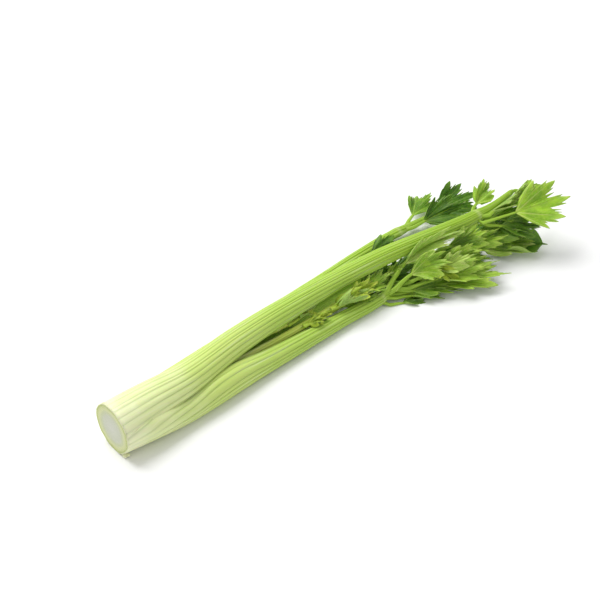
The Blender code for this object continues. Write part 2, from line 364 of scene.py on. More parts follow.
@dataclass(frozen=True)
class CutFace:
    """The trimmed root end: whitish pith inside a yellow-green ring and a pale skin."""

    name: str = "cut_face"

    def material(self) -> bpy.types.Material:
        """Builds the cut face's material.

        Returns:
            The finished material.
        """
        shader = Shader(
            self.name,
            Subsurface_Weight=0.25,
            Subsurface_Radius=(1.0, 1.0, 0.6),
            Subsurface_Scale=0.003,
            Specular_IOR_Level=0.45,
        )
        radius = shader.attribute("radius")
        wobble = shader.noise(shader.place((0.16, 0.16, 0.16)), 3.0)
        grain = shader.noise(shader.place((1.6, 1.6, 1.6)), 3.0, 0.7)
        fine = shader.noise(shader.place((4.5, 4.5, 4.5)), 2.0, 0.7)
        where = (radius + 0.10 * (wobble - 0.5) + 0.035 * (grain - 0.5)).clamped()
        colour = shader.ramp(
            where,
            [
                (0.00, tint(206, 208, 192)),
                (0.52, tint(200, 204, 182)),
                (0.68, tint(198, 205, 160)),
                (0.78, tint(210, 215, 158)),
                (0.88, tint(200, 208, 136)),
                (0.95, tint(176, 188, 102)),
                (1.00, tint(228, 232, 184)),
            ],
        )
        colour = shader.mix((grain.step(0.46, 0.70) * 0.40).clamped(), colour, tint(240, 240, 226))
        dots = fine.step(0.62, 0.74) * radius.step(0.35, 0.6) * radius.step(1.0, 0.75)
        colour = shader.mix((dots * 0.35).clamped(), colour, tint(172, 178, 110))
        return shader.finish(colour, 0.50 + 0.15 * grain, 0.5 * grain + 0.5 * fine, 0.35)


@dataclass(frozen=True)
class LeafSkin:
    """One face of a leaf: its blade, its paler veins, and how it shines."""

    name: str
    blade: tuple
    shade: tuple
    vein: tuple
    shine: float
    vein_share: float = 0.7

    def material(self) -> bpy.types.Material:
        """Builds the skin's material.

        Returns:
            The finished material.
        """
        shader = Shader(
            self.name,
            Subsurface_Weight=0.18,
            Subsurface_Radius=(0.5, 1.0, 0.2),
            Subsurface_Scale=0.002,
            Specular_IOR_Level=0.45,
        )
        vein, rim = shader.attribute("vein"), shader.attribute("rim")
        patches = shader.noise(shader.place((0.11, 0.11, 0.11)), 3.0)
        cells = shader.noise(shader.place((1.5, 1.5, 1.5)), 3.0, 0.65)
        colour = shader.mix((patches.step(0.36, 0.66)).clamped(), self.shade, self.blade)
        colour = shader.mix((cells.step(0.45, 0.8) * 0.22).clamped(), colour, self.vein)
        colour = shader.mix((rim.step(0.80, 1.0) * 0.30).clamped(), colour, self.vein)
        colour = shader.mix((vein * self.vein_share).clamped(), colour, self.vein)
        roughness = self.shine + 0.14 * cells - 0.05 * vein
        return shader.finish(colour, roughness, 0.6 * cells + 0.4 * vein, 0.55)


# Shapes


def origin() -> Vector:
    """Where the head frame starts, in the row frame: the middle of the cut face."""
    low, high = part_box("butt_core")
    return Vector((low.x, (low.y + high.y) / 2, (low.z + high.z) / 2))


ORIGIN = np.array(origin())


def hermite(stations: tuple[Station, ...], x: np.ndarray) -> np.ndarray:
    """Reads every field of the stations on a smooth curve along the head.

    Args:
        stations: the sections, in order.
        x: the distances from the cut face.

    Returns:
        One row of fields for each distance.
    """
    table = np.array(stations, float)
    known = table[:, 0]
    slopes = np.gradient(table, known, axis=0)
    index = np.clip(np.searchsorted(known, x, side="right") - 1, 0, len(known) - 2)
    gap = (known[index + 1] - known[index])[:, None]
    t = ((x - known[index]) / gap[:, 0])[:, None]
    start, end = table[index], table[index + 1]
    out = (2 * t**3 - 3 * t**2 + 1) * start + (3 * t**2 - 2 * t**3) * end
    return out + (t**3 - 2 * t**2 + t) * gap * slopes[index] + (t**3 - t**2) * gap * slopes[index + 1]


class Sheet:
    """A rectangular grid of points that becomes a mesh, with values for its finish."""

    def __init__(self, points: np.ndarray) -> None:
        """Keeps the points, as rows by columns by three, in millimetres of the head frame."""
        self.points = points
        self.values: dict[str, np.ndarray] = {}
        self.surface_map: np.ndarray | None = None

    def mesh(self, closed: bool) -> bmesh.types.BMesh:
        """Lays a bmesh grid over the points.

        Args:
            closed: whether the last column meets the first, which makes a tube that is then capped.

        Returns:
            The new bmesh, in metres of the row frame.
        """
        rows, columns = self.points.shape[:2]
        body = bmesh.new()
        bmesh.ops.create_grid(body, x_segments=rows - 1, y_segments=columns - 1, size=0.5)
        layers = {key: body.verts.layers.float.new(key) for key in self.values}
        flat = body.loops.layers.uv.new("surface") if self.surface_map is not None else None
        seats = {}
        for vert in body.verts:
            row = round((vert.co.x + 0.5) * (rows - 1))
            column = round((vert.co.y + 0.5) * (columns - 1))
            seats[vert] = (row, column)
            for key, layer in layers.items():
                vert[layer] = self.values[key][row, column]
        if flat is not None:
            for face in body.faces:
                for loop in face.loops:
                    loop[flat].uv = self.surface_map[seats[loop.vert]]
        for vert, seat in seats.items():
            vert.co = Vector(self.points[seat] * MM + ORIGIN)
        if closed:
            bmesh.ops.remove_doubles(body, verts=body.verts, dist=1e-6)
            ends = [edge for edge in body.edges if edge.is_boundary]
            bmesh.ops.holes_fill(body, edges=ends, sides=0)
            bmesh.ops.recalc_face_normals(body, faces=body.faces)
        return body


class Bench:
    """Turns bmeshes into finished objects of the part."""

    def __init__(self) -> None:
        """Starts with nothing made."""
        self.made: list[bpy.types.Object] = []

    def piece(
        self,
        name: str,
        body: bmesh.types.BMesh,
        materials: list[bpy.types.Material],
        replaces: tuple[str, ...] = (),
    ) -> bpy.types.Object:
        """Makes one object that rides with the head.

        Args:
            name: its name.
            body: its bmesh, which is used up.
            materials: its materials, in slot order.
            replaces: the CAD nodes that it stands for.

        Returns:
            The new object.
        """
        mesh = bpy.data.meshes.new(name)
        body.to_mesh(mesh)
        body.free()
        for material in materials:
            mesh.materials.append(material)
        mesh.shade_smooth()
        made = bpy.data.objects.new(name, mesh)
        bpy.context.scene.collection.objects.link(made)
        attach(made, "root")
        if replaces:
            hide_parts(*replaces)
        self.made.append(made)
        LOG.info("%s: %d faces", name, len(mesh.polygons))
        return made


@dataclass(frozen=True)
class Stalk:
    """One stalk: a ribbed, hollow-backed rib of the head that rounds off into a midrib."""

    node: str
    stations: tuple
    ribs: int
    joint: float
    rib_height: float = 0.75
    tuck: float = 0.0
    rings: int = 150
    back_points: int = 120
    hollow_points: int = 26
    edge_points: int = 5

    def outline(self) -> tuple[np.ndarray, np.ndarray, np.ndarray]:
        """The columns of a section.

        Returns:
            For each column its place across (-1 to 1), its depth (0 on the back, 1 in the hollow) and
            how far it rounds out past the edge.
        """
        back = np.linspace(-1, 1, self.back_points)
        turn = np.linspace(0, math.pi, self.edge_points + 2)[1:-1]
        hollow = np.linspace(1, -1, self.hollow_points)
        rounding = (1 - np.cos(turn)) / 2
        across = np.concatenate([back, np.ones_like(turn), hollow, -np.ones_like(turn), [-1.0]])
        depth = np.concatenate([0 * back, rounding, 0 * hollow + 1, rounding[::-1], [0.0]])
        out = np.concatenate([0 * back, np.sin(turn), 0 * hollow, -np.sin(turn), [0.0]])
        return across, depth, out

    def sheet(self) -> Sheet:
        """Works out the stalk's surface.

        Returns:
            The sheet of its points, ribs, ages and joint.
        """
        luck = random.Random(self.node)
        first, last = self.stations[0].x, self.stations[-1].x
        x = first + (last - first) * np.linspace(0, 1, self.rings)
        fields = hermite(self.stations, x)
        centre_y, centre_z, radius, facing, wrap, thickness = (fields[:, i, None] for i in range(1, 7))
        across, depth, out = (column[None, :] for column in self.outline())
        root = np.clip(1 - x / HUG_LENGTH, 0, 1)[:, None]
        edge = thickness * (EDGE_SHARE + (1 - EDGE_SHARE) * root)
        wall = edge + (thickness - edge) * (1 - across**2)

        heights = np.array([0.75 + 0.5 * luck.random() for _ in range(self.ribs + 1)])
        widths = np.cumsum([0.0] + [luck.uniform(0.6, 1.4) for _ in range(self.ribs)])
        phase = np.interp((across + 1) / 2 * widths[-1], widths, np.arange(self.ribs + 1))
        sway = 0.10 * np.sin(x[:, None] / 38 + luck.random() * 6) * np.sin(math.pi * (across + 1) / 2)
        phase = np.clip(phase + sway, 0, self.ribs - 1e-6)
        crest = np.abs(np.sin(math.pi * phase))
        rib = crest**0.6
        strength = heights[np.floor(phase).astype(int)]
        fade = np.clip((last - x) / 45, 0.15, 1)[:, None] * np.clip(0.55 + x / 90, 0, 1)[:, None]
        lift = self.rib_height * strength * (rib - 1) * fade
        lift = np.where(depth < 0.02, lift, -0.3 * np.abs(np.sin(3 * math.pi * across)) * (depth > 0.98))

        under = np.clip(x / 30, 0, 1) * np.clip((130 - x) / 40, 0, 1)
        hidden = under[:, None] * np.clip(-across, 0, 1) ** 2
        turned = facing + across * wrap / 2 - self.tuck * hidden
        lift = lift - 0.06 * self.tuck * hidden**2
        angle = np.radians(turned) + out * edge / 2 / np.maximum(radius, 1)
        reach = radius - depth * wall + lift
        tip = np.sqrt(np.clip((last - x) / (0.8 * radius[:, 0]), 0, 1))[:, None]
        swell = SWELL_HEIGHT * np.exp(-(((x - self.joint) / SWELL_WIDTH) ** 2))[:, None]
        reach = reach + swell * (depth < 0.5)
        middle = radius - wall / 2
        reach = middle + (reach - middle) * np.maximum(tip, 0.05)
        points = np.stack(
            [
                np.broadcast_to(x[:, None], reach.shape),
                centre_y - reach * np.sin(angle),
                centre_z + reach * np.cos(angle),
            ],
            axis=2,
        )
        sheet = Sheet(points)
        length = np.broadcast_to(x[:, None], reach.shape)
        sheet.values = {
            "rib": np.where(depth < 0.02, rib, 0.35 + 0 * rib),
            "age": np.clip(length / RIPE_LENGTH, 0, 1) + 0.12 * (depth > 0.5),
            "joint": BAND_SHARE * np.exp(-(((length - self.joint - 1.5 * across) / BAND_WIDTH) ** 2)),
        }
        arc = np.radians(wrap) * radius * across / 2 + 40 * (depth > 0.5)
        sheet.surface_map = np.stack([arc, length], axis=2)
        return sheet

    def build(self, bench: Bench, rind: bpy.types.Material) -> None:
        """Makes the stalk in place of its CAD node."""
        bench.piece(self.node, self.sheet().mesh(closed=True), [rind], (self.node,))


@dataclass(frozen=True)
class Butt:
    """The solid end that every stalk grows from, with its trimmed face."""

    radius: float = CUT_RADIUS
    proud: float = 0.25
    sides: int = 160
    rings: int = 40

    def build(self, bench: Bench, face: bpy.types.Material) -> None:
        """Makes the cut face and the plug behind it, in place of the CAD core.

        Args:
            bench: where pieces are made.
            face: the cut face's material.
        """
        luck = random.Random("butt")
        waves = [(luck.randint(3, 13), luck.random() * 6.3, 0.10 + 0.14 * luck.random()) for _ in range(6)]
        profile = [(0.0, 0.35)]
        for i in range(1, self.rings + 1):
            share = i / self.rings
            ridge = 0.10 * math.exp(-(((share - 0.8) / 0.08) ** 2))
            profile.append((share, 0.35 * (1 - share**2) - ridge))
        rim = [(1.0, 0.5), (0.985, 1.2), (0.93, 4.0), (0.80, 9.0), (0.70, 14.0), (0.55, 22.0), (0.01, 30.0)]
        turn = np.linspace(0, 2 * math.pi, self.sides + 1)
        edge = sum(size * np.sin(count * turn + start) for count, start, size in waves)
        rows, shares = [], []
        for share, depth in profile + rim:
            reach = self.radius * share + edge * share**4 - 0.15
            dent = 0.12 * np.sin(5 * turn + 3 * share * 7) * share * (1 - share)
            ring = [depth + dent - self.proud, -reach * np.sin(turn), reach * np.cos(turn)]
            rows.append(np.stack(ring, axis=1))
            shares.append(np.full(self.sides + 1, share))
        sheet = Sheet(np.array(rows))
        sheet.values = {"radius": np.array(shares)}
        bench.piece("butt", sheet.mesh(closed=True), [face], ("butt_core",))


@dataclass(frozen=True)
class Burr:
    """A torn scrap that the knife left on the rim of the cut."""

    name: str
    at: tuple
    size: tuple

    def build(self, bench: Bench, face: bpy.types.Material) -> None:
        """Makes the scrap as an uneven lump.

        Args:
            bench: where pieces are made.
            face: the cut face's material.
        """
        luck = random.Random(self.name)
        body = bmesh.new()
        value = body.verts.layers.float.new("radius")
        bmesh.ops.create_icosphere(body, subdivisions=3, radius=1.0)
        waves = [[luck.uniform(-2.6, 2.6) for _ in range(3)] + [luck.uniform(0, 6.3)] for _ in range(5)]
        for vert in body.verts:
            spot = vert.co.copy()
            rough = sum(math.sin(a * spot.x + b * spot.y + c * spot.z + d) for a, b, c, d in waves)
            spot *= 1 + 0.12 * rough
            scaled = np.array(spot) * np.array(self.size) + np.array(self.at)
            vert.co = Vector(scaled * MM + ORIGIN)
            vert[value] = 1.0
        bench.piece(self.name, body, [face])


@dataclass(frozen=True)
class Leaflet:
    """One leaflet on its own stem: a fan of toothed lobes that is bent, folded, curled and rippled.

    Its place is the one of its CAD node: start and heading (yaw from +X, pitch, and the roll that turns its
    upper face towards -Y), stem, length and width, the turn to the left and the bend downwards on its way,
    and how far its halves fold up and curl on.
    """

    start: tuple
    heading: tuple
    stem: float
    length: float
    width: float
    turn: float = 0.0
    bend: float = 0.0
    fold: float = 15.0
    curl: float = 0.0
    side: Side = Side.GLOSSY
    ripple: float = 2.1
    stem_radius: float = 1.25
    plain: float = 0.0
    lobes: tuple = ((0, 1.0), (26, 0.90), (50, 0.72))
    rest: float = -20.7

    HALF_ANGLE = 62.0
    WIDEST = 0.58
    TEETH = ((8, 0.90), (-8, 0.90), (15, 0.77), (-15, 0.77), (21, 0.62), (-21, 0.62))
    LOBE_WIDTH, TOOTH_WIDTH = 24, 8.5
    COLUMNS, ROWS = 150, 18
    STEPS = 48

    def midrib(self, along: np.ndarray) -> tuple[np.ndarray, np.ndarray, np.ndarray]:
        """Follows the midrib.

        Args:
            along: distances from the start of the stem; below 0 runs back into the stalk.

        Returns:
            The points there, and the directions to the left and up.
        """
        total = self.stem + self.length
        knots = np.linspace(-12, total * 1.02, self.STEPS)
        share = np.clip(knots / total, 0, 1.1)
        yaw = np.radians(self.heading[0] + self.turn * share)
        pitch = np.radians(self.heading[1] - self.bend * share)
        ahead = np.stack([np.cos(pitch) * np.cos(yaw), np.cos(pitch) * np.sin(yaw), np.sin(pitch)], axis=1)
        steps = np.diff(knots)[:, None] * (ahead[1:] + ahead[:-1]) / 2
        path = np.concatenate([np.zeros((1, 3)), np.cumsum(steps, axis=0)])
        left = np.stack([-np.sin(yaw), np.cos(yaw), 0 * yaw], axis=1)
        up = np.cross(ahead, left)
        roll = math.radians(self.heading[2])
        left, up = left * math.cos(roll) + up * math.sin(roll), up * math.cos(roll) - left * math.sin(roll)

        def read(rows: np.ndarray) -> np.ndarray:
            """Reads the rows of the knots at the distances asked for."""
            return np.stack([np.interp(along, knots, rows[:, i]) for i in range(3)], axis=-1)

        zero = np.array([np.interp(0.0, knots, path[:, i]) for i in range(3)])
        return read(path) - zero + np.array(self.start), read(left), read(up)

    def edge(self, spread: np.ndarray, luck: random.Random) -> np.ndarray:
        """How far the blade reaches in each direction from the top of its stem.

        Args:
            spread: the directions, in degrees from the midrib.
            luck: where its small differences come from.

        Returns:
            The reach, as a share of the blade's length.
        """
        fingers = []
        for angle, reach in self.lobes:
            for sign in ((0,) if angle == 0 else (-1, 1)):
                middle = angle * sign + luck.uniform(-2.5, 2.5)
                reach_here = reach * luck.uniform(0.93, 1.04)
                fingers.append((middle, reach_here, self.LOBE_WIDTH))
                for tooth, share in self.TEETH:
                    place = middle + tooth * luck.uniform(0.88, 1.12)
                    fingers.append((place, reach_here * share * luck.uniform(0.93, 1.05), self.TOOTH_WIDTH))
        reach = np.zeros_like(spread)
        for middle, length, width in fingers:
            away = np.abs(spread - middle) / width
            reach = np.maximum(reach, length * (1 - 0.9 * np.clip(away, 0, 1) ** 1.15) * (away < 1))
        reach = np.maximum(reach, self.plain * np.cos(np.radians(spread) * 0.8))
        sides = np.clip((self.HALF_ANGLE - np.abs(spread)) / 9, 0, 1) ** 0.6
        return np.maximum(reach * (0.35 + 0.65 * sides), 0.18)

    def lay(self, along: np.ndarray, across: np.ndarray, lift: np.ndarray) -> np.ndarray:
        """Bends, folds and curls flat points of the blade.

        Args:
            along: distances along the midrib.
            across: distances from it, to the left.
            lift: heights over the blade.

        Returns:
            The points in the head frame, kept off the floor.
        """
        point, left, up = self.midrib(along)
        fold = math.radians(self.fold)
        rate = math.radians(self.curl + 0.01) / (self.width / 2)
        far = np.sqrt(across**2 + 0.16) - 0.4
        out = (np.sin(fold + rate * far) - np.sin(fold)) / rate
        rise = (np.cos(fold) - np.cos(fold + rate * far)) / rate
        lean = fold + rate * far
        side = np.sign(across)
        sideways = side * (out - lift * np.sin(lean))
        upwards = rise + lift * np.cos(lean)
        found = point + sideways[..., None] * left + upwards[..., None] * up
        above = found[..., 2] - self.rest
        found[..., 2] = self.rest + 0.5 * (above + np.sqrt(above**2 + 1.0))
        return found

    def blade(self, name: str) -> Sheet:
        """Works out the blade's upper face.

        Args:
            name: the leaflet's name, which seeds its small differences.

        Returns:
            The sheet of its points, veins and rim.
        """
        luck = random.Random(name)
        u = np.linspace(-1, 1, self.COLUMNS + 1)
        spread = u * self.HALF_ANGLE
        reach = self.edge(spread, luck)
        q = np.linspace(0.02, 1, self.ROWS + 1)[:, None] ** 0.9
        angle = np.radians(spread)[None, :]
        flat_a = reach[None, :] * q * np.cos(angle)
        flat_b = reach[None, :] * q * np.sin(angle) / self.WIDEST
        along = self.stem + self.length * flat_a
        across = self.width / 2 * flat_b + 0.6 * u[None, :]

        vein = np.zeros_like(flat_a)
        pucker = np.zeros_like(flat_a)
        distance = reach[None, :] * q
        for lobe, size in self.lobes:
            for sign in ((0,) if lobe == 0 else (-1, 1)):
                away = np.radians(spread[None, :] - lobe * sign)
                ahead, beside = distance * np.cos(away), np.abs(distance * np.sin(away))
                width = 0.011 * (1.25 - ahead / size)
                main = np.exp(-((beside / np.maximum(width, 0.003)) ** 2)) * (ahead < size * 0.97)
                feather = (ahead - 0.9 * beside) * 13 + 0.5 * lobe
                near = np.clip(1 - np.abs(away) / math.radians(15), 0, 1)
                line = np.abs(feather - np.round(feather))
                fine = np.exp(-((line / 0.13) ** 2)) * 0.5 * (near > 0) * (ahead > 0.12)
                vein = np.maximum(vein, np.maximum(main, fine * np.minimum(1, 3 * near)))
                pucker = np.maximum(pucker, near * np.sqrt(line * 2) * np.clip(beside / 0.05, 0, 1))
        phase = luck.random() * 6.3
        waves = np.sin(np.radians(spread[None, :]) * 6.2 + phase + 1.8 * q)
        waves += 0.5 * np.sin(np.radians(spread[None, :]) * 13 + 2 * phase + 4 * q)
        lift = self.ripple * waves * q**2 + 0.45 * pucker * np.clip(q * 3, 0, 1) - 0.25 * vein
        lift += 0.9 * self.ripple * np.cos(np.radians(spread[None, :]) * 7.2) * q**3 * 0.6

        sheet = Sheet(self.lay(along, across, lift))
        sheet.values = {"vein": vein, "rim": np.broadcast_to(q, vein.shape)}
        return sheet

    def stalklet(self, name: str) -> Sheet:
        """Works out the stem and the midrib that it turns into under the blade.

        Args:
            name: the leaflet's name, which tells its stalk.

        Returns:
            The sheet of its points, ridges and ages.
        """
        end = self.stem + 0.72 * self.length
        along = np.concatenate([np.linspace(-ROOT_REACH, 0, 16)[:-1], np.linspace(0, end, 36)])
        share = np.clip(along / end, 0, 1)
        radius = self.stem_radius * (1.25 - 1.1 * share**0.8)
        radius *= 1 + 0.45 * np.clip(-along / ROOT_REACH, 0, 1) ** 1.5
        turn = np.linspace(0, 2 * math.pi, 17)[None, :]
        groove = 1 - 0.38 * np.clip(np.cos(turn), 0, 1) ** 4 * np.clip(1.4 - 2 * share, 0, 1)[:, None]
        ridges = 1 + 0.05 * np.cos(6 * turn)
        point, left, up = self.midrib(along)
        point[along < 0] = self.sprung(name, 1 + along[along < 0] / ROOT_REACH)
        drop = np.clip((along - self.stem * 0.6) / 6, 0, 1) * radius * 0.9
        point = point - drop[:, None] * up
        reach = radius[:, None] * groove * ridges
        points = point[:, None] + (reach * np.sin(turn))[..., None] * left[:, None]
        points = points + (reach * np.cos(turn))[..., None] * up[:, None]
        points[..., 2] = np.maximum(points[..., 2], FLOOR_HEIGHT)
        sheet = Sheet(points)
        sheet.values = {
            "rib": np.broadcast_to(0.5 + 0.5 * np.cos(6 * turn), reach.shape),
            "age": np.broadcast_to(np.clip(0.78 + 0.2 * share, 0, 1)[:, None], reach.shape),
            "joint": 0 * reach,
        }
        lengthways = np.broadcast_to(along[:, None], reach.shape)
        sheet.surface_map = np.stack([radius[:, None] * turn, lengthways], axis=2)
        return sheet

    def sprung(self, name: str, share: np.ndarray) -> np.ndarray:
        """Leads the stem out of the wall of its stalk.

        Args:
            name: the leaflet's name, which tells its stalk.
            share: 0 in the wall and 1 where the stem's own length starts.

        Returns:
            The points on the way.
        """
        stalk = next(stalk for prefix, stalk in GROWS_ON if name.startswith(prefix))
        start = np.array(self.start, float)
        x = min(max(start[0] - 9, stalk.joint - 3), stalk.stations[-1].x - 4)
        _, y, z, radius, _, _, thickness = hermite(stalk.stations, np.array([x]))[0]
        aside = start[1:] - np.array([y, z])
        aside = aside / max(np.linalg.norm(aside), 0.01) * (radius - thickness / 2)
        root = np.array([x, y + aside[0], z + aside[1]])
        gap = np.linalg.norm(start - root)
        yaw, pitch = (math.radians(angle) for angle in self.heading[:2])
        ahead = np.array([math.cos(pitch) * math.cos(yaw), math.cos(pitch) * math.sin(yaw), math.sin(pitch)])
        t = share[:, None]
        found = (2 * t**3 - 3 * t**2 + 1) * root + (3 * t**2 - 2 * t**3) * start
        return found + gap * ((t**3 - 2 * t**2 + t) * np.array([1.0, 0, 0]) + (t**3 - t**2) * ahead)

    def build(self, name: str, bench: Bench, skins: dict, rind: bpy.types.Material) -> None:
        """Makes the leaflet, in place of its CAD node if it has one.

        Args:
            name: its name, which is the CAD node's.
            bench: where pieces are made.
            skins: the upper and lower skin for each side.
            rind: the stem's material.
        """
        node = (name,) if name in LEAFLETS else ()
        made = bench.piece(name, self.blade(name).mesh(closed=False), list(skins[self.side]), node)
        solid = made.modifiers.new("thickness", "SOLIDIFY")
        solid.thickness = BLADE_THICKNESS * MM
        solid.offset = -1.0
        solid.material_offset = 1
        bench.piece(name + "_stem", self.stalklet(name).mesh(closed=True), [rind])


STALKS = (
    Stalk(
        "outer_stalk_top",
        course(
            (0, 0, 0, 21.0, 0, 159, 4.3),
            (39, 4.2, -1.2, 18.6, 0, 156, 5.4),
            (68, 6.2, -1.5, 16.4, 3, 149, 6.2),
            (130, 17.0, 1.0, 12.9, 12, 150, 7.2),
            (188, 22.0, 3.0, 10.8, 16, 158, 7.0),
            (247, 22.3, 6.0, 8.8, 20, 170, 6.4),
            (291, 18.0, 10.0, 8.0, 22, 185, 6.2),
            (315, 13.0, 13.0, 7.1, 22, 195, 5.8),
            (367, 3.5, 17.2, 6.1, 24, 215, 5.2),
            (392, 1.0, 20.5, 4.0, 20, 240, 3.6),
            (418, 2.0, 25.5, 2.4, 20, 240, 2.2),
        ),
        ribs=10,
        joint=376,
    ),
    Stalk(
        "outer_stalk_near",
        course(
            (0, 0, 0, 21.0, 120, 78.5, 4.3),
            (25, -4.5, -4.2, 16.6, 114, 88, 5.0),
            (60, -7.7, -10.5, 11.5, 87, 136, 5.8),
            (95, -4.6, -10.8, 12.2, 68, 162, 6.0),
            (116, -2.8, -11.4, 11.7, 62, 168, 6.0),
            (145, -2.0, -12.8, 9.6, 61, 162, 5.8),
            (180, -1.2, -13.6, 8.0, 60, 165, 5.6),
            (227, 0.6, -14.6, 6.5, 60, 185, 5.2),
            (266, 1.6, -15.3, 5.4, 60, 215, 4.6),
            (284, 3.6, -14.4, 3.8, 60, 240, 3.4),
            (306, 5.0, -14.6, 2.5, 50, 240, 2.3),
        ),
        ribs=7,
        joint=269,
        tuck=24.0,
    ),
    Stalk(
        "outer_stalk_far",
        course(
            (0, 0, 0, 21.0, -120, 78.5, 4.3),
            (25, 7.0, -4.4, 16.4, -114, 88, 5.0),
            (60, 21.0, -9.8, 11.2, -88, 130, 6.0),
            (116, 29.5, -11.2, 9.8, -80, 142, 6.2),
            (180, 38.5, -12.6, 8.2, -70, 160, 6.0),
            (240, 46.0, -13.6, 7.2, -55, 175, 5.6),
            (290, 53.0, -14.3, 6.5, -45, 190, 5.2),
            (330, 56.5, -14.4, 5.8, -40, 210, 4.8),
            (350, 57.5, -13.8, 3.8, -30, 240, 3.4),
            (372, 56.5, -13.0, 2.4, -20, 240, 2.2),
        ),
        ribs=7,
        joint=336,
    ),
    Stalk(
        "outer_stalk_under",
        course(
            (0, 0, 0, 21.0, 180, 39.4, 4.3),
            (25, 1.5, -7.0, 14.0, 180, 52, 5.0),
            (60, 6.5, -12.6, 8.4, 180, 116, 5.4),
            (116, 12.5, -13.8, 7.2, 180, 140, 5.2),
            (180, 19.0, -14.3, 6.6, 180, 150, 5.0),
            (240, 25.0, -14.9, 6.0, 178, 165, 4.8),
            (300, 26.0, -15.5, 5.4, 170, 180, 4.6),
            (340, 19.0, -15.9, 4.9, 160, 200, 4.3),
            (358, 12.5, -16.5, 3.4, 150, 230, 3.1),
            (380, 3.0, -17.2, 2.3, 140, 240, 2.1),
        ),
        ribs=7,
        joint=345,
    ),
    Stalk(
        "inner_stalk_near",
        course(
            (36, -3.0, -5.0, 6.0, 80, 120, 3.4),
            (60, 0.0, -5.5, 5.4, 80, 130, 3.6),
            (116, 7.0, -7.5, 4.5, 80, 150, 3.5),
            (170, 8.3, -8.5, 3.9, 80, 170, 3.2),
            (210, 9.5, -8.0, 3.4, 75, 190, 3.0),
            (228, 10.2, -7.2, 3.1, 70, 210, 2.8),
            (246, 9.0, -5.2, 2.0, 60, 240, 1.8),
        ),
        ribs=5,
        joint=231,
        rib_height=0.35,
    ),
    Stalk(
        "inner_stalk_far",
        course(
            (36, 9.5, -4.5, 6.0, -80, 120, 3.4),
            (60, 15.0, -3.0, 5.6, -80, 130, 3.6),
            (116, 23.0, -4.5, 4.8, -70, 150, 3.6),
            (180, 31.0, -4.0, 4.4, -60, 170, 3.4),
            (240, 36.5, -3.0, 3.8, -50, 190, 3.2),
            (258, 37.5, -2.6, 3.2, -45, 210, 2.9),
            (282, 37.0, -1.0, 2.0, -40, 240, 1.8),
        ),
        ribs=5,
        joint=261,
        rib_height=0.35,
    ),
    Stalk(
        "heart_stalk_near",
        course(
            (36, 3.0, 5.0, 4.4, 20, 130, 2.8),
            (70, 7.5, 2.5, 4.0, 20, 150, 2.8),
            (116, 13.0, -0.5, 3.2, 30, 170, 2.5),
            (160, 14.5, -2.0, 2.7, 40, 200, 2.3),
            (184, 13.0, -3.0, 1.7, 50, 240, 1.5),
        ),
        ribs=4,
        joint=168,
        rib_height=0.25,
    ),
    Stalk(
        "heart_stalk_far",
        course(
            (36, 4.5, -3.5, 3.0, 200, 150, 2.1),
            (70, 10.0, -5.5, 2.8, 200, 160, 2.0),
            (116, 17.5, -7.5, 2.5, 200, 180, 1.9),
            (150, 21.5, -6.5, 2.1, 200, 210, 1.8),
            (170, 23.5, -5.5, 1.6, 200, 240, 1.4),
        ),
        ribs=4,
        joint=156,
        rib_height=0.25,
    ),
)

# Which stalk a leaflet grows on, by the start of its name
GROWS_ON = (
    ("top", STALKS[0]),
    ("near", STALKS[1]),
    ("under", STALKS[3]),
    ("far", STALKS[2]),
    ("inner_far", STALKS[5]),
    ("inner", STALKS[4]),
    ("gap", STALKS[4]),
    ("heart_leaflet_near", STALKS[6]),
    ("heart", STALKS[7]),
)

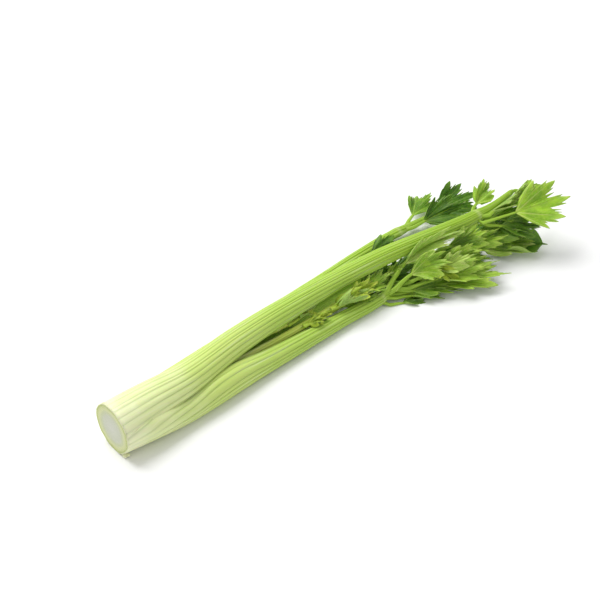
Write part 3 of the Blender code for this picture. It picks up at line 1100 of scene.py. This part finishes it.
LEAFLETS = {
    # on the top stalk, held up over the rest
    "top_leaflet_tip": Leaflet(
        (375, -7.5, 17.5), (-25, 12, 42), 29, 50, 44, 8, 8, 6, 12, Side.LIGHT, lobes=((0, 1.0), (30,
        0.96), (54, 0.72))
    ),
    "top_leaflet_folded": Leaflet((383, -6.5, 21.5), (8, 7, 40), 24, 30, 24, -20, 0, 50, 20, Side.PALE),
    "top_leaflet_left": Leaflet((380, 10, 21), (18, 18, 28), 4, 28, 22, 0, 0, 20, 10, Side.LIGHT),
    "top_leaflet_low": Leaflet(
        (380, -9, 13), (-24, -12, 35), 12, 38, 28, 0, 0, 14, 20, Side.DARK, ripple=2.8
    ),
    "top_leaflet_back": Leaflet((421, 1, 25), (-30, -14, 32), 3, 26, 24, 0, 0, 12, 0, Side.LIGHT),
    # on the near stalk
    "near_leaflet_up": Leaflet(
        (276, 1, -8.5), (20, 30, 55), 26, 58, 26, -55, 16, 42, 16, Side.PALE, stem_radius=2.0
    ),
    "near_leaflet_bright": Leaflet(
        (283, -3, -8), (0, 34, 50), 16, 38, 30, -50, 32, 15, 20, Side.LIGHT, stem_radius=1.7
    ),
    "near_leaflet_middle": Leaflet((310, 2, -13), (-12, 32, 40), 36, 40, 30, 0, 26, 18, 10, Side.LIGHT),
    "near_leaflet_fingers": Leaflet((298, -4, -9), (-30, 24, 40), 24, 32, 22, 10, 10, 24, 0, Side.PALE),
    "near_leaflet_long": Leaflet((294, -6, -13), (-26, 16, 35), 28, 44, 28, 0, 14, 18, 10, Side.LIGHT),
    "near_leaflet_tip": Leaflet((293, -3, -16), (-27, 8, 14), 24, 70, 34, -8, 8, 10, 8, Side.LIGHT),
    "near_leaflet_low": Leaflet((281, -5, -17.2), (-24, 0, 3), 12, 34, 22, 0, 0, 4, 0, Side.GLOSSY),
    "near_leaflet_floor": Leaflet((274, -6.5, -19.8), (-24, 0, 2), 10, 24, 14, 0, 0, 2, 0, Side.DARK),
    # on the stalk underneath, resting on the floor
    "under_leaflet_cup": Leaflet(
        (384, 1, -17.5), (-38, 2, 30), 4, 52, 38, 0, 2, 30, 70, Side.DARK, plain=0.94
    ),
    "under_leaflet_inner": Leaflet((381, -5, -13.5), (-35, 12, 22), 5, 38, 20, 0, 8, 20, 10, Side.GLOSSY),
    "under_leaflet_left": Leaflet((372, 11, -15), (16, 12, 5), 5, 38, 32, 0, 20, 14, 0, Side.DARK),
    "under_leaflet_right": Leaflet((350, 9, -18.5), (-44, 2, 5), 8, 34, 24, 0, 4, 8, 0, Side.GLOSSY),
    # on the far stalk
    "far_leaflet_tip": Leaflet((375, 56, -12), (-8, 14, 32), 6, 46, 40, 0, 14, 12, 10, Side.DARK),
    "far_leaflet_left": Leaflet((356, 64, -13.5), (22, 8, 8), 8, 36, 30, 0, 14, 8, 0, Side.GLOSSY),
    "far_leaflet_right": Leaflet((352, 50, -9), (-14, 20, 40), 8, 42, 32, 0, 16, 14, 0, Side.DARK),
    # on the two inner stalks
    "inner_leaflet_small": Leaflet((190, 4.4, -4.6), (-14, 8, 20), 3, 16, 10, 0, 0, 15, 0, Side.YOUNG),
    "inner_leaflet_rolled": Leaflet((218, 5.2, -2.4), (-6, -2, 0), 4, 36, 22, 0, 0, 45, 60, Side.YOUNG),
    "inner_leaflet_tip": Leaflet((249, 9.8, -4), (4, -2, 20), 3, 42, 28, 0, 10, 14, 10, Side.GLOSSY),
    "inner_leaflet_low": Leaflet((240, 12, -11), (-2, -12, 10), 4, 40, 18, 0, 0, 8, 0, Side.DARK),
    "inner_far_leaflet_tip": Leaflet((285, 37, 0), (-6, 3, 28), 4, 34, 26, 0, 10, 14, 10, Side.DARK),
    "inner_far_leaflet_low": Leaflet((268, 38, -8), (-6, -6, 5), 4, 34, 20, 0, 4, 12, 0, Side.DARK),
    # in the heart
    "heart_leaflet_near": Leaflet((187, 12.5, -2.6), (6, -1, 0), 3, 20, 9, 0, 0, 25, 20, Side.YOUNG),
    "heart_leaflet_far": Leaflet((173, 23.5, -5), (0, -4, -5), 3, 20, 9, 0, 0, 25, 20, Side.YOUNG),
}


# Smaller leaves that fill the gaps between the leaflets above, each beside the one it grows with. Those on
# the dark side sit low down and behind, and are painted in shade.
SPRIGS = {
    "top_sprig_web": Leaflet((385, -3, 14.5), (-20, 8, 50), 3, 36, 20, 0, 0, 20, 15, Side.GLOSSY),
    "top_sprig_fold": Leaflet((379, -3, 19.5), (-8, 9, 45), 6, 44, 16, -8, 0, 48, 30, Side.PALE),
    "top_sprig_low": Leaflet((387, -8, 9), (-31, -6, 40), 2, 42, 24, 0, 0, 16, 25, Side.DARK, ripple=2.8),
    "near_sprig_point": Leaflet((352, -6, 2), (-22, 4, 45), 2, 42, 20, 0, 0, 14, 10, Side.LIGHT),
    "near_sprig_high": Leaflet((338, -2, 6), (-20, 6, 50), 2, 34, 20, 0, 0, 20, 10, Side.GLOSSY),
    "near_sprig_blade": Leaflet((322, -9, -8), (-26, 2, 30), 4, 50, 18, 0, 0, 16, 10, Side.LIGHT),
    "near_sprig_edge": Leaflet((318, -12, -13), (-31, 2, 25), 4, 54, 18, 0, 0, 12, 10, Side.LIGHT),
    "near_sprig_finger": Leaflet((324, -11, 1), (-14, 4, 45), 2, 38, 22, 0, 0, 22, 10, Side.LIGHT),
    "near_sprig_left": Leaflet((286, -3, -17), (-24, 1, 8), 6, 40, 16, 0, 0, 10, 8, Side.LIGHT),
    "near_sprig_right": Leaflet((300, -4, -15.5), (-36, 0, 12), 4, 46, 18, 0, 0, 12, 8, Side.GLOSSY),
    "near_sprig_flap": Leaflet((312, -5, 2), (-58, -4, 40), 3, 28, 20, 0, 20, 18, 10, Side.YOUNG),
    "near_sprig_under": Leaflet((296, 4, -17), (-12, 3, 12), 3, 52, 34, 0, 0, 8, 10, Side.DARK),
    "near_sprig_behind": Leaflet((318, 6, -12), (-22, 8, 35), 3, 46, 30, 0, 0, 14, 10, Side.GLOSSY),
    "near_sprig_between": Leaflet((292, -6, -15), (-34, 3, 20), 3, 44, 20, 0, 0, 12, 10, Side.GLOSSY),
    "top_sprig_under": Leaflet((366, -2, 2), (-24, 0, 40), 3, 46, 26, 0, 0, 14, 10, Side.GLOSSY),
    "top_sprig_behind": Leaflet((384, 4, 4), (-14, 4, 30), 3, 34, 26, 0, 0, 14, 10, Side.DARK),
    "under_sprig_pale": Leaflet((376, -3, -15), (-32, 3, 40), 3, 50, 24, 0, 0, 18, 20, Side.PALE),
    "gap_sprig_dark": Leaflet((262, 9, -10), (8, 9, 20), 3, 36, 24, 0, 0, 14, 10, Side.DARK),
    "gap_sprig_far": Leaflet((280, 12, -12), (-10, 16, 25), 3, 36, 26, 0, 0, 14, 10, Side.DARK),
    "gap_sprig_middle": Leaflet((250, 10, -7), (-6, 12, 30), 3, 34, 20, 0, 0, 14, 10, Side.LIGHT),
    "gap_sprig_light": Leaflet((282, 11, -6), (-18, 34, 35), 3, 16, 12, 0, 0, 14, 10, Side.LIGHT),
    "gap_sprig_low": Leaflet((240, 8, -12), (-12, 6, 15), 3, 30, 16, 0, 0, 14, 10, Side.GLOSSY),
    "inner_sprig_rolled": Leaflet((222, 10, -5), (-8, 0, 5), 3, 40, 16, 0, 0, 50, 70, Side.YOUNG),
    "inner_sprig_bits": Leaflet((192, 6, -8), (-6, 8, 20), 2, 26, 13, 0, 0, 20, 10, Side.YOUNG),
    "inner_sprig_tip": Leaflet((236, 8, -6), (-4, 10, 25), 2, 34, 20, 0, 0, 24, 20, Side.YOUNG),
}


# Studio


@dataclass(frozen=True)
class Studio:
    """A pale floor, a bright surround and one soft light, with the camera over the root end."""

    aim: tuple = (219.54, 47.22, -CUT_RADIUS)
    back: tuple = (-0.48313, -0.59449, 0.64279)
    distance: float = 1.42
    field_of_view: float = 20.0
    floor_side: float = 4.0
    light_from: tuple = (-0.20, 0.62, 1.15)
    light_away: float = 1.6
    light_side: float = 1.1
    light_power: float = 23.0
    surround: float = 0.60

    def aim_point(self) -> Vector:
        """What the camera looks at, in the row frame."""
        return Vector(np.array(self.aim) * MM + ORIGIN)

    def build(self) -> None:
        """Makes the floor, the light, the surround and the camera."""
        self.floor()
        self.light()
        self.world()
        self.camera()

    def floor(self) -> None:
        """Makes the pale floor, level with the underside of the head."""
        body = bmesh.new()
        bmesh.ops.create_grid(body, x_segments=1, y_segments=1, size=self.floor_side / 2)
        mesh = bpy.data.meshes.new("floor")
        body.to_mesh(mesh)
        body.free()
        shader = Shader("floor_paper", Specular_IOR_Level=0.1)
        speckle = shader.noise(shader.place((0.02, 0.02, 0.02)))
        colour = shader.mix(speckle.clamped(), tint(249, 249, 249), tint(252, 252, 252))
        mesh.materials.append(shader.finish(colour, 0.85 + 0.05 * speckle, speckle, 0.01))
        floor = bpy.data.objects.new("floor", mesh)
        bpy.context.scene.collection.objects.link(floor)

    def light(self) -> None:
        """Hangs the large soft light behind and to the left."""
        data = bpy.data.lights.new("softbox", "AREA")
        data.shape = "SQUARE"
        data.size = self.light_side
        data.energy = self.light_power
        lamp = bpy.data.objects.new("softbox", data)
        away = Vector(self.light_from).normalized()
        lamp.location = self.aim_point() + away * self.light_away
        lamp.rotation_euler = away.to_track_quat("Z", "Y").to_euler()
        bpy.context.scene.collection.objects.link(lamp)

    def world(self) -> None:
        """Sets the even white surround."""
        world = bpy.data.worlds.new("surround")
        world.use_nodes = True
        world.node_tree.nodes["Background"].inputs["Color"].default_value = (1.0, 1.0, 1.0, 1.0)
        world.node_tree.nodes["Background"].inputs["Strength"].default_value = self.surround
        bpy.context.scene.world = world
        bpy.context.scene.view_settings.view_transform = "Standard"

    def camera(self) -> None:
        """Places the camera."""
        data = bpy.data.cameras.new("camera")
        data.sensor_width = 36.0
        data.lens = 18.0 / math.tan(math.radians(self.field_of_view / 2))
        data.clip_end = 20.0
        camera = bpy.data.objects.new("camera", data)
        away = Vector(self.back).normalized()
        camera.location = self.aim_point() + away * self.distance
        camera.rotation_euler = away.to_track_quat("Z", "Y").to_euler()
        bpy.context.scene.collection.objects.link(camera)
        bpy.context.scene.camera = camera


# Finishes and scraps of this head
BURRS = (
    Burr("butt_knob", (2.2, -12.6, -18.9), (2.0, 2.0, 1.5)),
    Burr("butt_knob_small", (3.8, -14.4, -18.6), (1.3, 1.3, 1.1)),
    Burr("butt_spur", (0.6, 9.5, 18.6), (1.0, 1.7, 1.2)),
)
OUTER_RIND = Rind(
    "outer_rind",
    (
        (0.00, tint(238, 242, 196)),
        (0.08, tint(226, 236, 170)),
        (0.25, tint(200, 220, 118)),
        (0.50, tint(176, 208, 84)),
        (0.78, tint(162, 198, 58)),
        (1.00, tint(148, 184, 46)),
    ),
    # darker green between the ribs and in the hollow, partly painted shade
    tint(104, 142, 16),
)
INNER_RIND = Rind(
    "inner_rind",
    (
        (0.00, tint(238, 240, 188)),
        (0.20, tint(226, 234, 150)),
        (0.45, tint(196, 214, 90)),
        (0.70, tint(172, 198, 60)),
        (1.00, tint(156, 186, 52)),
    ),
    # darker green between the ribs and in the hollow, partly painted shade
    tint(142, 164, 36),
)
UNDERSIDE = LeafSkin("leaf_underside", tint(150, 186, 78), tint(130, 170, 58), tint(190, 212, 120), 0.55)
# The light and the dark skin are the middle leaf green with painted light and with painted shade
SKINS = {
    Side.LIGHT: LeafSkin("leaf_painted_lit", tint(158, 202, 30), tint(126, 174, 14), tint(212, 228, 122), 0.36),
    Side.GLOSSY: LeafSkin("leaf_middle", tint(116, 160, 16), tint(86, 132, 8), tint(176, 204, 80), 0.32),
    Side.DARK: LeafSkin("leaf_painted_shade", tint(84, 130, 8), tint(54, 98, 4), tint(142, 176, 50), 0.28),
    Side.YOUNG: LeafSkin("leaf_young", tint(170, 200, 22), tint(142, 176, 12), tint(214, 224, 100), 0.38),
    Side.PALE: LeafSkin("leaf_pale", tint(182, 214, 92), tint(158, 198, 62), tint(220, 232, 146), 0.46),
}


def main() -> None:
    """Builds the whole head, piece by piece, and the studio around it."""
    logging.basicConfig(level=logging.INFO, format="%(name)s: %(message)s")
    bench = Bench()
    outer, inner = OUTER_RIND.material(), INNER_RIND.material()
    underside = UNDERSIDE.material()
    skins = {side: (skin.material(), underside) for side, skin in SKINS.items()}
    Studio().build()
    face = CutFace().material()
    Butt().build(bench, face)
    for burr in BURRS:
        burr.build(bench, face)
    for stalk in STALKS:
        stalk.build(bench, outer if stalk.node.startswith("outer") else inner)
    for name, leaflet in (LEAFLETS | SPRIGS).items():
        leaflet.build(name, bench, skins, inner if name.startswith(("inner", "heart")) else outer)
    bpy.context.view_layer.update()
    LOG.info("%d pieces", len(bench.made))


if __name__ == "__main__":
    main()
